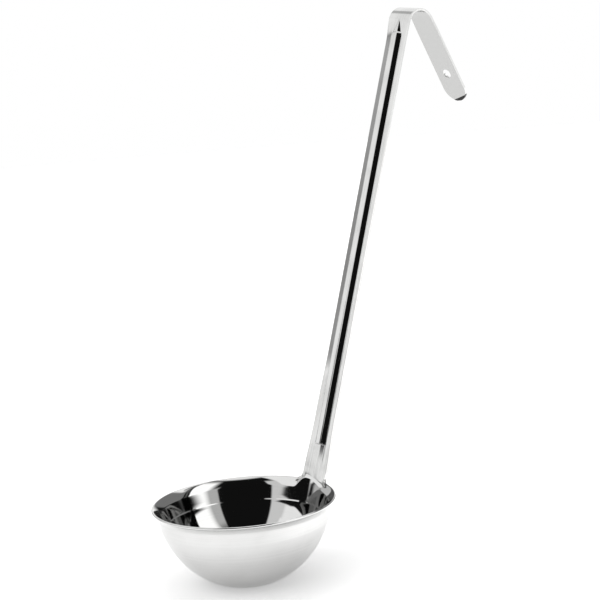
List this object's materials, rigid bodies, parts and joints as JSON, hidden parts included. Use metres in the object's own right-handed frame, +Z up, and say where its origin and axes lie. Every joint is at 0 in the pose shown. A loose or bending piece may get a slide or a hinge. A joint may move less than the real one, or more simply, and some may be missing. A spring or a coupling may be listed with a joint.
{
  "type": "soup ladle",
  "caption": "Stainless steel soup ladle: drawn round bowl with a flared lip, welded to a ribbed strip handle that ends in a hook with a hanging hole.",
  "frame": {"origin": "centre of the flat underside of the bowl, on the surface that the ladle stands on", "axes": "+Z up along the bowl's axis, +X towards the handle, +Y across the handle's strip"},
  "size_m": [0.2053, 0.09, 0.2694],
  "materials": {
    "bowl_steel": "mirror polished stainless steel",
    "handle_steel": "bright polished stainless steel",
    "weld_steel": "ground and polished stainless weld metal",
    "tip_vinyl": "black dipped vinyl"
  },
  "bodies": {
    "root": {"bowl": "bowl_steel", "handle": "handle_steel", "spot_welds": "weld_steel", "rim_welds": "weld_steel", "hook_tip": "tip_vinyl"}
  },
  "joints": []
}
